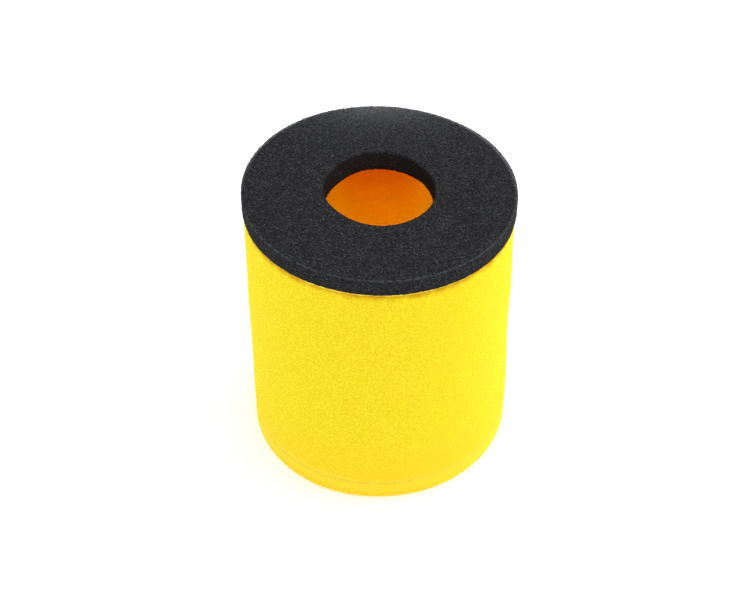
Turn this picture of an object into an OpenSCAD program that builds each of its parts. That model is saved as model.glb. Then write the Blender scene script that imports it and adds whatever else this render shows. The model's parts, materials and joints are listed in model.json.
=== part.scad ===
// Foam air filter element: a rolled foam sleeve, a foam base disc and a foam end ring, glued together.
// The origin is the centre of the underside, with +Z up along the element's axis. Millimetres.

/* [End ring] */
// Outside diameter of the end ring, the widest part of the element
ring_d = 120; // [100:1:140]
// Thickness of the end ring
ring_t = 8; // [5:0.5:12]
// Diameter of the intake hole in the end ring
bore_d = 48; // [30:1:60]
// How far the end ring stands out past the sleeve, all round
ring_overhang = 0.5; // [0.5:0.5:3]
// Rounding of the end ring's outer edges
ring_edge_r = 0.8; // [0.4:0.1:2]

/* [Sleeve] */
// Thickness of the foam sheet that the sleeve is rolled from
sleeve_wall = 12; // [8:1:16]
// Height of the sleeve between its two glued ends
sleeve_h = 118; // [60:1:200]

/* [Base] */
// Thickness of the foam disc that closes the bottom
base_t = 10; // [6:0.5:15]
// Rounding of the base disc's lower edge
base_edge_r = 2.5; // [0.5:0.5:5]

/* [Glue] */
// Thickness of the glue films under the end ring and over the base disc
film_t = 0.4; // [0.2:0.1:0.5]
// Width of the glued joint where the rolled sheet's two ends meet
seam_w = 0.6; // [0.3:0.1:1.5]
// Direction of that joint as seen from above, in degrees from +Y towards -X
seam_angle = 45; // [0:5:355]
// Radius of the glue that is squeezed out along the films' edges
bead_r = 0.5; // [0.3:0.1:0.5]

/* [Hidden] */
$fn = 96;

overcut = 1; // how far a cutting shape runs past the face that it cuts

ring_r = ring_d / 2;
bore_r = bore_d / 2;
sleeve_r = ring_r - ring_overhang;
cavity_r = sleeve_r - sleeve_wall;

base_bond_z = base_t;
sleeve_z = base_bond_z + film_t;
ring_bond_z = sleeve_z + sleeve_h;
ring_z = ring_bond_z + film_t;

filter_yellow = [0.99, 0.84, 0.13];
seal_black = [0.14, 0.14, 0.16];
glue_cream = [0.97, 0.90, 0.62];

// The sliver of a profile that lies outside a corner of radius r. The corner's arc has its centre at the
// origin, and the sliver fills the quarter with positive x and y.
module corner_sliver(r) {
    difference() {
        square(r + overcut);
        circle(r);
    }
}

// A flat ring or disc from radius r_in to r_out, from z = 0 up to t, with its outer edges rounded.
// A rounding of 0 leaves that edge square.
module foam_disc(r_in, r_out, t, top_r, bottom_r) {
    rotate_extrude()
        difference() {
            translate([r_in, 0]) square([r_out - r_in, t]);
            if (top_r > 0)
                translate([r_out - top_r, t - top_r]) corner_sliver(top_r);
            if (bottom_r > 0)
                translate([r_out - bottom_r, bottom_r]) mirror([0, 1]) corner_sliver(bottom_r);
        }
}

// The tube that the rolled sheet makes, before its joint is taken out.
module tube() {
    difference() {
        cylinder(r = sleeve_r, h = sleeve_h);
        translate([0, 0, -overcut]) cylinder(r = cavity_r, h = sleeve_h + 2 * overcut);
    }
}

// The upright slab that the sleeve's glued joint takes up, from the axis out through the wall.
module seam_slab(slab_h) {
    rotate([0, 0, seam_angle])
        translate([-seam_w / 2, 0, 0]) cube([seam_w, sleeve_r + overcut, slab_h]);
}

// Round glue bead along a film's edge of radius r, centred half way up the film.
module bead_section(r) {
    translate([r, film_t / 2]) circle(bead_r);
}

// Glue film on one end of the sleeve's wall, from z = 0 up to film_t, with a bead along each edge that
// stands out past the wall. A bead stops at any foam that covers it, so each argument says how far that
// bead may reach past the film: the outer one down and up, then the inner one down and up.
module bond(outer_down, outer_up, inner_down, inner_up) {
    rotate_extrude() {
        translate([cavity_r, 0]) square([sleeve_wall, film_t]);
        intersection() {
            bead_section(sleeve_r);
            translate([sleeve_r, -outer_down]) square([bead_r, outer_down + film_t + outer_up]);
        }
        intersection() {
            bead_section(cavity_r);
            translate([cavity_r - bead_r, -inner_down]) square([bead_r, inner_down + film_t + inner_up]);
        }
    }
}

module foam_sleeve() {
    color(filter_yellow) translate([0, 0, sleeve_z])
        difference() {
            tube();
            translate([0, 0, -overcut]) seam_slab(sleeve_h + 2 * overcut);
        }
}

module base_disc() {
    color(filter_yellow) foam_disc(0, sleeve_r, base_t, 0, base_edge_r);
}

module end_ring() {
    color(seal_black) translate([0, 0, ring_z])
        foam_disc(bore_r, ring_r, ring_t, ring_edge_r, ring_edge_r);
}

// The end ring covers both edges of its film, so both beads hang below it.
module ring_bond() {
    color(glue_cream) translate([0, 0, ring_bond_z]) bond(bead_r, 0, bead_r, 0);
}

// The base disc is as wide as the sleeve, so the outer bead is whole and the inner one sits on the disc.
module base_bond() {
    color(glue_cream) translate([0, 0, base_bond_z]) bond(bead_r, bead_r, 0, bead_r);
}

module seam_bond() {
    color(glue_cream) translate([0, 0, sleeve_z])
        intersection() {
            tube();
            seam_slab(sleeve_h);
        }
}

foam_sleeve();
base_disc();
end_ring();
ring_bond();
base_bond();
seam_bond();
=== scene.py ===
import json
import math
import random

import bmesh
import bpy
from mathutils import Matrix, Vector, noise


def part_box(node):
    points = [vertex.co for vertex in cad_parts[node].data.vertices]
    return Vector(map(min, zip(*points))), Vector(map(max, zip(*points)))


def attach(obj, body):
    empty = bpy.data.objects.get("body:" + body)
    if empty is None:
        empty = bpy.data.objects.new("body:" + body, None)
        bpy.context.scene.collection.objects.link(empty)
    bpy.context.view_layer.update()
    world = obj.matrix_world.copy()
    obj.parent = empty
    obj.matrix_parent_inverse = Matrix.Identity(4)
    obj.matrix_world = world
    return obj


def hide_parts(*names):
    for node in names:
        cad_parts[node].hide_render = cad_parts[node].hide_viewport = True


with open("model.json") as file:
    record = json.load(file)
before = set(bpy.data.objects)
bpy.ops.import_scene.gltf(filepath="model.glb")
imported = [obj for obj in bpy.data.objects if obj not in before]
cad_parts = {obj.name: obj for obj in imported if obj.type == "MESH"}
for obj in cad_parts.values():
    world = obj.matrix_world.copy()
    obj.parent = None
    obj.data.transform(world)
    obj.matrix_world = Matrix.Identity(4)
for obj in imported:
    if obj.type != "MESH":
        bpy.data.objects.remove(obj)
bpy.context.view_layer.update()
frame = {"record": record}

MM = 0.001

# Sizes and places, from the frame
RING_LOW, RING_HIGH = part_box("end_ring")
SLEEVE_LOW, SLEEVE_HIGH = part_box("foam_sleeve")
BASE_LOW, BASE_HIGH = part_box("base_disc")
BORE = next(m for m in frame["record"]["mounts"] if m["name"] == "intake_bore")
RING_R = RING_HIGH.x
BORE_R = BORE["dims"]["r_mm"] * MM
SLEEVE_R = SLEEVE_HIGH.x

# The rolled sheet, as the CAD has it: its thickness, and the joint where its two ends meet
WALL = 12 * MM
CAVITY_R = SLEEVE_R - WALL
SEAM_DIRECTION = math.radians(135)
SEAM_GAP = 0.6 * MM

# How the soft foam departs from its true shape
TOP_TILT = -0.0187  # the ring's slope towards +X, rise over run: the sleeve was cut a little out of square
BORE_FLARE = 0.6 * MM  # the die pressed the soft ring as it cut the hole, so it is wider at the top
GLUE_PINCH = 0.3 * MM  # how far the glue draws the foam in beside it
PINCH_REACH = 3 * MM  # how far from the glue that is felt
RING_SINK = 0.2 * MM  # how far the ring is pressed into its glue

# Size of the foams' open cells
YELLOW_CELL = 0.74 * MM
BLACK_CELL = 0.55 * MM

# Fineness of the meshes: steps round the axis, and the spacing of points on a corner's arc
SLEEVE_COLUMNS = 430
RING_COLUMNS = 760
BASE_COLUMNS = 400
GLUE_COLUMNS = 700
ARC_STEP = 0.45 * MM

# Studio
WORLD_LIGHT = 1.15
KEY_PLACE = (0.92, 0.2, 0.75)
KEY_AIM = (0, 0, 0.06)
KEY_WIDTH = 1.4
KEY_POWER = 5
FLOOR_RADIUS = 4.0
FLOOR_GLOW = 0.25


# ---------------------------------------------------------------- shapes

def outline(corners):
    """Closed outline in the (r, z) half-plane, anticlockwise, from right-angled corners.

    A corner is (r, z, rounding, step): its place, the radius of its arc, and the spacing of the points
    on the straight stretch that follows it. Returns the points as (r, z) vectors.
    """
    points = []
    count = len(corners)
    for i, (r, z, rounding, step) in enumerate(corners):
        here = Vector((r, z))
        before = Vector(corners[i - 1][:2])
        after_corner = corners[(i + 1) % count]
        after = Vector(after_corner[:2])
        along_in = (here - before).normalized()
        along_out = (after - here).normalized()
        centre = here + (along_out - along_in) * rounding
        arc_steps = max(1, math.ceil(rounding * math.pi / 2 / ARC_STEP)) if rounding else 0
        for k in range(arc_steps + 1):
            turn = math.pi / 2 * k / arc_steps if arc_steps else 0
            points.append(centre + (along_in * math.sin(turn) - along_out * math.cos(turn)) * rounding)
        start = here + along_out * rounding
        end = after - along_out * after_corner[2]
        pieces = max(1, round((end - start).length / step))
        points += [start.lerp(end, k / pieces) for k in range(1, pieces)]
    return points


def outward(points, i):
    """Outward normal of an anticlockwise outline at point i, in (r, z)."""
    along = points[(i + 1) % len(points)] - points[i - 1]
    return Vector((along.y, -along.x)).normalized()


def swelling(p, degrees, height, reach, amount, spread=30):
    """Height at p of a smooth swelling centred on one height and one direction, in degrees from +X to +Y."""
    aside = math.remainder(math.atan2(p.y, p.x) - math.radians(degrees), math.tau) / math.radians(spread)
    above = (p.z - height) / reach
    return amount * math.exp(-aside ** 2 - above ** 2)


def bulge(p):
    """How far the soft foam stands out past a true cylinder at p."""
    ring_height, ring_reach = 133 * MM, 12 * MM
    foot = swelling(p, 0, 20 * MM, 28 * MM, 1.5 * MM)
    wall = swelling(p, 0, 85 * MM, 30 * MM, 0.6 * MM)
    ring_side = swelling(p, 0, ring_height, ring_reach, 0.4 * MM)
    ring_back_right = swelling(p, 43, ring_height, ring_reach, 0.9 * MM)
    ring_back_left = swelling(p, 135, ring_height, ring_reach, 0.5 * MM)
    return foot + wall + ring_side + ring_back_right + ring_back_left


def bore_bulge(p):
    """How far the hand-cut hole runs outside a true circle near p. It fades out over the ring's face."""
    down, across = 6 * MM, 5 * MM
    back = swelling(p, 92, RING_HIGH.z, down, 1.5 * MM, 38)
    front_left = swelling(p, 222, RING_HIGH.z, down, -1.2 * MM, 32)
    low_left = swelling(p, 142, RING_LOW.z, down, -1.7 * MM, 26)
    from_edge = (math.hypot(p.x, p.y) - BORE_R) / across
    return (back + front_left + low_left) * math.exp(-from_edge ** 2)


def settle(p):
    """Moves a point of the true element to where it is on the soft one.

    The foam bulges, its hole is off round, and it leans more and more from the base up to the ring.
    """
    wider = 1 + bulge(p) / RING_R
    if p.z > RING_LOW.z - MM:  # only the ring has the hole
        wider += bore_bulge(p) / BORE_R
    lean = TOP_TILT * min(max((p.z - BASE_HIGH.z) / (SLEEVE_HIGH.z - SLEEVE_LOW.z), 0), 1)
    return Vector((p.x * wider, p.y * wider, max(p.z + lean * p.x, 0)))


def revolve(name, corners, columns, offset, start=0.0, sweep=math.tau):
    """Turns an outline about +Z, moves each point along its normal by offset(point, rng), and settles it.

    A point on the axis itself becomes one vertex that all columns share.
    """
    points = outline(corners)
    rng = random.Random(name)
    closed = sweep == math.tau
    stops = columns if closed else columns + 1
    mesh = bmesh.new()
    rows = []
    for column in range(stops):
        angle = start + sweep * column / columns
        east, north = math.cos(angle), math.sin(angle)
        row = []
        for i, point in enumerate(points):
            if point.x == 0 and rows:
                row.append(rows[0][i])
                continue
            place = Vector((point.x * east, point.x * north, point.y))
            if point.x > 0:
                normal = outward(points, i)
                push = offset(place, rng)
                place += Vector((normal.x * east, normal.x * north, normal.y)) * push
            row.append(mesh.verts.new(settle(place)))
        rows.append(row)
    for column in range(columns):
        here, there = rows[column], rows[(column + 1) % stops]
        for i in range(len(points)):
            j = (i + 1) % len(points)
            around = list(dict.fromkeys((here[i], there[i], there[j], here[j])))
            if len(around) > 2:
                mesh.faces.new(around)
    if not closed:
        for row in (rows[0], rows[-1]):
            cap = mesh.faces.new(row)
            bmesh.ops.triangulate(mesh, faces=[cap])
    bmesh.ops.recalc_face_normals(mesh, faces=mesh.faces)
    return finish_piece(name, mesh)


def finish_piece(name, mesh):
    """Turns the working mesh into a smooth object in the scene."""
    data = bpy.data.meshes.new(name)
    mesh.to_mesh(data)
    mesh.free()
    data.polygons.foreach_set("use_smooth", [True] * len(data.polygons))
    piece = bpy.data.objects.new(name, data)
    bpy.context.scene.collection.objects.link(piece)
    return piece


def wander(place, size, reach, seed):
    """Smooth random number within about +-reach that changes over a distance of size."""
    return reach * noise.noise(place / size + Vector((seed, 2 * seed, 3 * seed)))


def cut_foam(place, rng):
    """Surface of cut foam: a slow swell, the knife's small waves, and the open cells themselves."""
    return (wander(place, 30 * MM, 0.25 * MM, 1.3)
            + wander(place, 6 * MM, 0.06 * MM, 5.7)
            + wander(place, 1.8 * MM, 0.12 * MM, 9.1)
            + rng.gauss(0, 0.035 * MM))


def ring_surface(place, rng):
    """Cut foam whose sharp edges, round the top and round the bottom of the bore, are frayed."""
    radius = math.hypot(place.x, place.y)
    from_top_edge = max(RING_HIGH.z - place.z, RING_R - radius)
    from_bore_edge = max(place.z - RING_LOW.z, radius - BORE_R)
    frayed = math.exp(-max(min(from_top_edge, from_bore_edge), 0) / (0.6 * MM))
    return cut_foam(place, rng) + rng.gauss(0, 0.14 * MM) * frayed


def sleeve_surface(place, rng):
    """Cut foam that the glue draws in at both ends."""
    from_end = min(abs(place.z - SLEEVE_LOW.z), abs(SLEEVE_HIGH.z - place.z))
    return cut_foam(place, rng) - GLUE_PINCH * math.exp(-from_end / PINCH_REACH)


def base_surface(place, rng):
    """Cut foam that the glue draws in at the top."""
    from_glue = abs(BASE_HIGH.z - place.z)
    return cut_foam(place, rng) - GLUE_PINCH * math.exp(-from_glue / PINCH_REACH)


def make_sleeve():
    """Rolled foam sheet, whose two cut ends face each other across the joint."""
    outer_step, inner_step, end_step = 0.9 * MM, 2.4 * MM, 1.5 * MM
    edge = 0.5 * MM
    half_gap = SEAM_GAP / 2 / SLEEVE_R
    return revolve(
        "foam_sleeve_skin",
        [(SLEEVE_R, SLEEVE_LOW.z, edge, outer_step),
         (SLEEVE_R, SLEEVE_HIGH.z, edge, end_step),
         (CAVITY_R, SLEEVE_HIGH.z, edge, inner_step),
         (CAVITY_R, SLEEVE_LOW.z, edge, end_step)],
        SLEEVE_COLUMNS, sleeve_surface, SEAM_DIRECTION + half_gap, math.tau - 2 * half_gap)


def make_end_ring():
    """Foam ring with the intake hole. Its underside is mostly hidden, so the mesh is coarser there."""
    face_step, under_step = 0.65 * MM, 1.6 * MM
    edge, pressed_edge = 0.7 * MM, 0.3 * MM
    pressed_z = RING_LOW.z - RING_SINK
    return revolve(
        "end_ring_skin",
        [(RING_R, pressed_z, pressed_edge, face_step),
         (RING_R, RING_HIGH.z, edge, face_step),
         (BORE_R + BORE_FLARE, RING_HIGH.z, edge, face_step),
         (BORE_R - BORE_FLARE, pressed_z, pressed_edge, under_step)],
        RING_COLUMNS, ring_surface)


def make_base_disc():
    """Foam disc under the sleeve. Its outline closes along the axis, in one step."""
    face_step, flat_step = 0.9 * MM, 2.0 * MM
    lower_edge, upper_edge = 2.5 * MM, 0.5 * MM
    whole_height = BASE_HIGH.z - BASE_LOW.z
    return revolve(
        "base_disc_skin",
        [(SLEEVE_R, BASE_LOW.z, lower_edge, face_step),
         (SLEEVE_R, BASE_HIGH.z, upper_edge, flat_step),
         (0, BASE_HIGH.z, 0, whole_height),
         (0, BASE_LOW.z, 0, flat_step)],
        BASE_COLUMNS, base_surface)


def make_glue_line(name, low, stand_out):
    """Film of glue on the end of the sleeve's wall, with a bead that comes and goes along its outer edge.

    The film's edge stands out past the wall by stand_out, or stays short of it where that is negative.
    """
    film, soak, step = 0.4 * MM, 0.2 * MM, 4 * MM
    inner = CAVITY_R + 0.5 * MM

    def bead(place, rng):
        return wander(place, 4 * MM, 0.3 * MM, 3.3) + wander(place, 1.2 * MM, 0.2 * MM, 6.1)

    return revolve(
        name,
        [(SLEEVE_R + stand_out, low - soak, 0, film),
         (SLEEVE_R + stand_out, low + film, 0, step),
         (inner, low + film, 0, film),
         (inner, low - soak, 0, step)],
        GLUE_COLUMNS, bead)


def make_seam_glue():
    """Upright strip of glue that fills the sleeve's joint and stands a little proud of both its faces."""
    mesh = bmesh.new()
    outer_stand_out, inner_stand_out = 0.10 * MM, 0.35 * MM
    outer, inner = SLEEVE_R + outer_stand_out, CAVITY_R - inner_stand_out
    rows = 240
    side = Vector((-math.sin(SEAM_DIRECTION), math.cos(SEAM_DIRECTION), 0))
    out = Vector((math.cos(SEAM_DIRECTION), math.sin(SEAM_DIRECTION), 0))
    rings = []
    for k in range(rows + 1):
        z = SLEEVE_LOW.z + (SLEEVE_HIGH.z - SLEEVE_LOW.z) * k / rows
        height = Vector((0, 0, z))
        swell = wander(height, 3 * MM, 0.25 * MM, 2.2)
        half = SEAM_GAP / 2 + abs(wander(height, 5 * MM, 0.3 * MM, 8.4))
        ring = [out * (outer + swell) + side * half, out * (outer + swell) - side * half,
                out * (inner - swell) - side * half, out * (inner - swell) + side * half]
        rings.append([mesh.verts.new(settle(corner + height)) for corner in ring])
    for low, high in zip(rings, rings[1:]):
        for a in range(4):
            b = (a + 1) % 4
            mesh.faces.new((low[a], low[b], high[b], high[a]))
    mesh.faces.new(rings[0])
    mesh.faces.new(rings[-1])
    bmesh.ops.recalc_face_normals(mesh, faces=mesh.faces)
    return finish_piece("seam_glue", mesh)


# ---------------------------------------------------------------- materials

class Nodes:
    """Small helper for building one node material."""

    def __init__(self, name):
        self.material = bpy.data.materials.new(name)
        self.material.use_nodes = True
        self.tree = self.material.node_tree
        self.shader = self.tree.nodes["Principled BSDF"]
        self.place = self.tree.nodes.new("ShaderNodeTexCoord").outputs["Object"]

    def add(self, kind, settings=None, **inputs):
        """Adds one node. An underscore in an input's name stands for a space."""
        node = self.tree.nodes.new(kind)
        for key, value in (settings or {}).items():
            setattr(node, key, value)
        for key, value in inputs.items():
            self.put(node.inputs[key.replace("_", " ")], value)
        return node

    def put(self, socket, value):
        """Links another node's output to the socket, or sets the socket to a plain value."""
        if isinstance(value, bpy.types.NodeSocket):
            self.tree.links.new(value, socket)
        else:
            socket.default_value = value

    def mix(self, share, a, b):
        """Colour that goes from a to b as share goes from 0 to 1."""
        node = self.tree.nodes.new("ShaderNodeMix")
        node.data_type = "RGBA"
        self.put(node.inputs["Factor"], share)
        self.put(node.inputs["A"], a)
        self.put(node.inputs["B"], b)
        return node.outputs["Result"]

    def remap(self, value, low, high, to_low=0.0, to_high=1.0):
        """Goes smoothly from to_low to to_high as value goes from low to high, and stays there beyond."""
        node = self.add("ShaderNodeMapRange", {"interpolation_type": "SMOOTHSTEP"}, Value=value)
        for key, number in (("From Min", low), ("From Max", high), ("To Min", to_low), ("To Max", to_high)):
            node.inputs[key].default_value = number
        return node.outputs["Result"]

    def math(self, operation, a, b=0.0, c=0.0):
        node = self.add("ShaderNodeMath", {"operation": operation})
        for socket, value in zip(node.inputs, (a, b, c)):
            self.put(socket, value)
        return node.outputs[0]

    def vector(self, operation, a, b, output):
        node = self.add("ShaderNodeVectorMath", {"operation": operation})
        self.put(node.inputs[0], a)
        self.put(node.inputs[1], b)
        return node.outputs[output]

    def along(self, direction):
        """Distance from the origin in one direction."""
        return self.vector("DOT_PRODUCT", self.place, direction, "Value")

    def from_axis(self):
        """Distance from the element's axis."""
        flat = self.vector("MULTIPLY", self.place, (1, 1, 0), "Vector")
        return self.vector("LENGTH", flat, (0, 0, 0), "Value")

    def level(self):
        """Height, with the lean of the top taken out."""
        return self.along((-TOP_TILT, 0, 1))

    def in_cavity(self):
        """1 on the surfaces that face the hollow inside, 0 on the outside."""
        within = self.remap(self.from_axis(), CAVITY_R + 1 * MM, CAVITY_R + 3 * MM, 1.0, 0.0)
        over_floor = self.remap(self.level(), BASE_HIGH.z - 2 * MM, BASE_HIGH.z - 1 * MM)
        return self.math("MULTIPLY", within, over_floor)

    def by_seam(self, reach):
        """1 at the sleeve's joint, falling to 0 at a distance of reach to either side of it."""
        across = (-math.sin(SEAM_DIRECTION), math.cos(SEAM_DIRECTION), 0)
        out = (math.cos(SEAM_DIRECTION), math.sin(SEAM_DIRECTION), 0)
        near = self.remap(self.math("ABSOLUTE", self.along(across)), 0.0, reach, 1.0, 0.0)
        return self.math("MULTIPLY", near, self.remap(self.along(out), 0.0, 10 * MM))

    def red(self, colour):
        return self.add("ShaderNodeSeparateColor", Color=colour).outputs["Red"]

    def noise(self, size, detail=2.0):
        return self.add("ShaderNodeTexNoise", Vector=self.place, Scale=1 / size, Detail=detail).outputs["Fac"]

    def voronoi(self, size):
        return self.add("ShaderNodeTexVoronoi", Vector=self.place, Scale=1 / size)


def rgba(r, g, b):
    return (r, g, b, 1.0)


def foam(name, cell, depth):
    """Bump and roughness of open-cell foam. Returns the nodes and how far the strut at a place stands up."""
    n = Nodes(name)
    coarse = n.voronoi(cell).outputs["Distance"]
    fine = n.voronoi(cell * 0.6).outputs["Distance"]
    cells = n.math("MULTIPLY_ADD", fine, 0.5, coarse)
    struts = n.remap(cells, 0.45, 1.15)
    bump = n.add("ShaderNodeBump", Height=struts, Distance=depth, Strength=1.0)
    n.put(n.shader.inputs["Normal"], bump.outputs["Normal"])
    n.put(n.shader.inputs["Roughness"], n.remap(struts, 0.0, 1.0, 1.0, 0.85))
    return n, struts


def through_joint(n, reach, glow):
    """Gives back the glow that the inner wall loses where the light cannot cross the joint's cut faces."""
    inside = n.math("MULTIPLY", n.in_cavity(), n.by_seam(reach))
    n.put(n.shader.inputs["Emission Color"], n.mix(inside, rgba(0, 0, 0), glow))
    n.shader.inputs["Emission Strength"].default_value = 1.0


def outer_yellow(n, struts):
    """Yellow of the outside: patchy, with a painted shadow under the ring and painted shade towards the foot.
    """
    tint = n.mix(struts, rgba(0.73, 0.56, 0.006), rgba(0.90, 0.73, 0.029))
    patches = n.remap(n.noise(14 * MM, 3.0), 0.35, 0.65, 0.0, 0.15)
    tint = n.mix(patches, tint, rgba(0.82, 0.62, 0.012))

    # Painted shadow under the ring: a darker, more orange band with a ragged lower edge.
    ragged = n.math("MULTIPLY", n.noise(5 * MM), 4 * MM)
    from_ring = n.math("SUBTRACT", SLEEVE_HIGH.z + 2 * MM, n.math("ADD", n.level(), ragged))
    painted_ring_shadow = n.remap(from_ring, 0.0, 4.2 * MM, 1.0, 0.0)
    tint = n.mix(painted_ring_shadow, tint, rgba(0.57, 0.27, 0.003))

    # Painted shade: more orange, with less green, towards the foot.
    foot = n.remap(n.level(), 5 * MM, 45 * MM, 0.5, 0.0)
    tint = n.mix(foot, tint, rgba(0.88, 0.58, 0.022))

    above_edge = n.remap(n.level(), 2 * MM, 6 * MM)
    below_glue = n.remap(n.level(), 11 * MM, 13 * MM, 0.4, 0.0)
    return n.mix(n.math("MULTIPLY", above_edge, below_glue), tint, rgba(0.92, 0.74, 0.06))


def painted_inner_glow(n, struts, aside, shaded):
    """Painted glow of the inner wall: orange painted into its base colour for the light that comes through
    the wall, deeper in the painted shade under the ring and lighter, painted light, towards the two sides.
    """
    tint = n.mix(struts, rgba(0.97, 0.195, 0.001), rgba(1.0, 0.22, 0.002))
    tint = n.mix(aside, tint, rgba(1.0, 0.275, 0.002))
    return n.mix(shaded, tint, rgba(0.84, 0.165, 0.001))


def yellow_foam():
    """Yellow filter foam.

    Light wanders only a little way into the outside, which keeps its grain sharp. Inside it comes through
    the whole wall, the red part of it from farthest, which turns the cavity orange; the inner wall's base
    colour is painted orange as well, a painted glow.
    """
    n, struts = foam("yellow_filter_foam", YELLOW_CELL, 0.20 * MM)
    cavity = n.in_cavity()
    # Painted light: the inner wall's painted glow is lighter towards the two sides.
    aside = n.remap(n.math("ABSOLUTE", n.along((1, 0, 0))), 5 * MM, 27 * MM)
    # Painted shade on the inner wall under the ring, weaker towards the two sides.
    under_ring = n.remap(n.level(), SLEEVE_HIGH.z - 52 * MM, SLEEVE_HIGH.z - 8 * MM)
    shaded = n.math("MULTIPLY", under_ring, n.remap(aside, 0.0, 1.0, 1.0, 0.35))
    tint = n.mix(cavity, outer_yellow(n, struts), painted_inner_glow(n, struts, aside, shaded))
    n.put(n.shader.inputs["Base Color"], tint)
    n.shader.inputs["Specular IOR Level"].default_value = 0.10
    n.shader.inputs["Subsurface Weight"].default_value = 1.0
    n.shader.inputs["Subsurface Scale"].default_value = 90 * MM
    inner_reach = n.mix(shaded, rgba(1.1, 0.75, 0.3), rgba(0.6, 0.5, 0.2))
    n.put(n.shader.inputs["Subsurface Radius"], n.mix(cavity, rgba(0.03, 0.015, 0.006), inner_reach))
    through_joint(n, 5 * MM, rgba(0.20, 0.045, 0.0))
    return n.material


def with_painted_glints(n, tint):
    """Painted glints: a pale tint on the few struts that are turned so that they catch the light."""
    cells = n.voronoi(BLACK_CELL)
    turned = n.remap(n.red(cells.outputs["Color"]), 0.60, 1.0)
    middle = n.remap(cells.outputs["Distance"], 0.25, 0.60, 1.0, 0.0)
    return n.mix(n.math("MULTIPLY", turned, middle), tint, rgba(0.09, 0.092, 0.098))


def with_painted_back_sheen(n, struts, tint):
    """Paints a paler black, a painted sheen of the light from behind, round the middle of the ring's back
    edge.
    """
    narrowed = n.vector("MULTIPLY", n.place, (0.35, 1, 1), "Vector")
    from_back_edge = n.vector("DISTANCE", narrowed, (0, RING_R, RING_HIGH.z), "Value")
    # Painted sheen: paler towards the middle of the back edge.
    back_sheen_share = n.math("EXPONENT", n.math("DIVIDE", from_back_edge, -8 * MM))
    return n.mix(back_sheen_share, tint, n.mix(struts, rgba(0.045, 0.045, 0.047), rgba(0.172, 0.175, 0.182)))


def with_painted_edge_highlight(n, struts, tint, from_edge):
    """Painted highlight: a pale broken line along the ring's top edge, where its frayed struts catch the
    light, wider and more even round the back.
    """
    broken = n.remap(n.noise(MM), 0.35, 0.6)
    line = n.math("MULTIPLY", n.remap(from_edge, 0.2 * MM, 0.9 * MM, 0.6, 0.0), broken)
    tint = n.mix(line, tint, rgba(0.085, 0.088, 0.098))
    # Painted highlight, wider round the back edge.
    behind = n.remap(n.along((0, 1, 0)), -0.2 * RING_R, 0.5 * RING_R)
    back_edge_highlight = n.math("MULTIPLY", behind, n.remap(from_edge, 0.3 * MM, 1.6 * MM, 0.8, 0.0))
    return n.mix(back_edge_highlight, tint, n.mix(struts, rgba(0.05, 0.051, 0.058), rgba(0.20, 0.205, 0.23)))


def black_foam():
    """Black seal foam, with painted shade on its outer cut side, a little darker than its top, and a painted
    warm reflection of the orange cavity in the bore.
    """
    n, struts = foam("black_seal_foam", BLACK_CELL, 0.16 * MM)
    dark = rgba(0.0065, 0.0065, 0.007)
    tint = with_painted_glints(n, n.mix(struts, dark, rgba(0.029, 0.0295, 0.0315)))

    below_top = n.math("SUBTRACT", RING_HIGH.z, n.level())
    from_outside = n.math("SUBTRACT", RING_R, n.from_axis())
    from_bore = n.math("SUBTRACT", n.from_axis(), BORE_R)
    outer_side = n.remap(from_outside, 0.5 * MM, 1.0 * MM, 0.08, 0.0)
    bore_side = n.remap(from_bore, 1.5 * MM, 3.0 * MM, 0.65, 0.0)
    under_edge = n.remap(below_top, 0.7 * MM, 1.5 * MM)
    painted_orange_bounce = rgba(0.0105, 0.0058, 0.0035)
    # Painted shade: the outer cut side a little darker than the top.
    tint = n.mix(n.math("MULTIPLY", outer_side, under_edge), tint, dark)
    # Painted reflection: the bore browner for the orange light from the cavity below.
    tint = n.mix(n.math("MULTIPLY", bore_side, under_edge), tint, painted_orange_bounce)

    tint = with_painted_back_sheen(n, struts, tint)
    tint = with_painted_edge_highlight(n, struts, tint, n.math("MAXIMUM", below_top, from_outside))
    n.put(n.shader.inputs["Base Color"], tint)
    n.shader.inputs["Specular IOR Level"].default_value = 0.05
    return n.material


def glue():
    """Clear glue over yellow foam, with an orange base colour inside the cavity: a painted glow like the
    inner wall's.
    """
    n = Nodes("clear_glue")
    cloud = n.remap(n.noise(2 * MM), 0.3, 0.7)
    tint = n.mix(cloud, rgba(0.88, 0.61, 0.02), rgba(0.92, 0.70, 0.06))
    # Painted glow: orange base colour for the glue inside the cavity.
    painted_inner_glow_tint = n.mix(cloud, rgba(0.92, 0.36, 0.004), rgba(0.98, 0.46, 0.008))
    n.put(n.shader.inputs["Base Color"], n.mix(n.in_cavity(), tint, painted_inner_glow_tint))
    n.put(n.shader.inputs["Roughness"], n.remap(n.noise(0.8 * MM), 0.3, 0.7, 0.35, 0.6))
    n.shader.inputs["Specular IOR Level"].default_value = 0.2
    through_joint(n, 2 * MM, rgba(0.26, 0.06, 0.0))
    return n.material


def floor_material():
    """White paper with a slight glow of its own, as an overlit backdrop has."""
    n = Nodes("studio_paper")
    n.put(n.shader.inputs["Base Color"],
          n.mix(n.noise(0.3), rgba(0.86, 0.86, 0.86), rgba(0.88, 0.88, 0.88)))
    n.shader.inputs["Roughness"].default_value = 0.95
    n.shader.inputs["Specular IOR Level"].default_value = 0.0
    n.shader.inputs["Emission Color"].default_value = rgba(1, 1, 1)
    n.shader.inputs["Emission Strength"].default_value = FLOOR_GLOW
    return n.material


# ---------------------------------------------------------------- studio

def make_floor():
    mesh = bmesh.new()
    bmesh.ops.create_circle(mesh, cap_ends=True, radius=FLOOR_RADIUS, segments=96)
    floor = finish_piece("studio_floor", mesh)
    floor.data.materials.append(floor_material())


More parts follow.
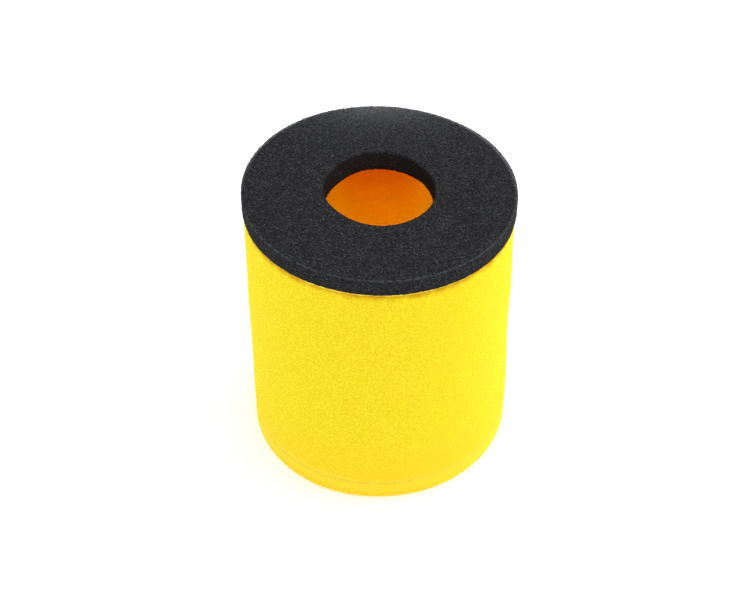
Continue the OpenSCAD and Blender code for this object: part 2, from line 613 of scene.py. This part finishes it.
def softbox(name, place, aim, width, power):
    """Round area light that points at aim."""
    light = bpy.data.lights.new(name, "AREA")
    light.shape = "DISK"
    light.size = width
    light.energy = power
    lamp = bpy.data.objects.new(name, light)
    lamp.location = place
    lamp.rotation_euler = (Vector(aim) - Vector(place)).to_track_quat("-Z", "Y").to_euler()
    bpy.context.scene.collection.objects.link(lamp)


def make_world(strength):
    world = bpy.data.worlds.new("studio_white")
    world.use_nodes = True
    world.node_tree.nodes["Background"].inputs["Color"].default_value = rgba(1, 1, 1)
    world.node_tree.nodes["Background"].inputs["Strength"].default_value = strength
    bpy.context.scene.world = world


def make_camera():
    """Camera 43 degrees above the horizon, aimed at the element's axis near half height."""
    sensor, lens = 36.0, 81.6
    elevation, distance = math.radians(43.0), 784 * MM
    aim = Vector((-1.7 * MM, 0, 70.5 * MM))
    data = bpy.data.cameras.new("camera")
    data.sensor_width, data.lens = sensor, lens
    camera = bpy.data.objects.new("camera", data)
    back = Vector((0, -math.cos(elevation), math.sin(elevation)))
    camera.location = aim + back * distance
    camera.rotation_euler = (-back).to_track_quat("-Z", "Y").to_euler()
    bpy.context.scene.collection.objects.link(camera)
    bpy.context.scene.camera = camera


# ---------------------------------------------------------------- the element

def stand_for(piece, node, material):
    """Gives the piece its material, hangs it under the root body, and hides the part of the frame it is drawn
    in place of.
    """
    piece.data.materials.append(material)
    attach(piece, "root")
    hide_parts(node)


yellow = yellow_foam()
black = black_foam()
glue_film = glue()
ring_glue_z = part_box("ring_bond")[0].z + 0.1 * MM  # just above the lowest point of the CAD's bead
stand_for(make_sleeve(), "foam_sleeve", yellow)
stand_for(make_base_disc(), "base_disc", yellow)
stand_for(make_end_ring(), "end_ring", black)
stand_for(make_glue_line("ring_glue", ring_glue_z, 0.05 * MM), "ring_bond", glue_film)
stand_for(make_glue_line("base_glue", BASE_HIGH.z, -0.3 * MM), "base_bond", glue_film)
stand_for(make_seam_glue(), "seam_bond", glue_film)

make_floor()
make_world(WORLD_LIGHT)
softbox("key", KEY_PLACE, KEY_AIM, KEY_WIDTH, KEY_POWER)
make_camera()

scene = bpy.context.scene
scene.view_settings.view_transform = "Standard"
# The cavity gets its light from its own walls, which takes more bounces than usual
scene.cycles.diffuse_bounces = 8
scene.cycles.max_bounces = 16
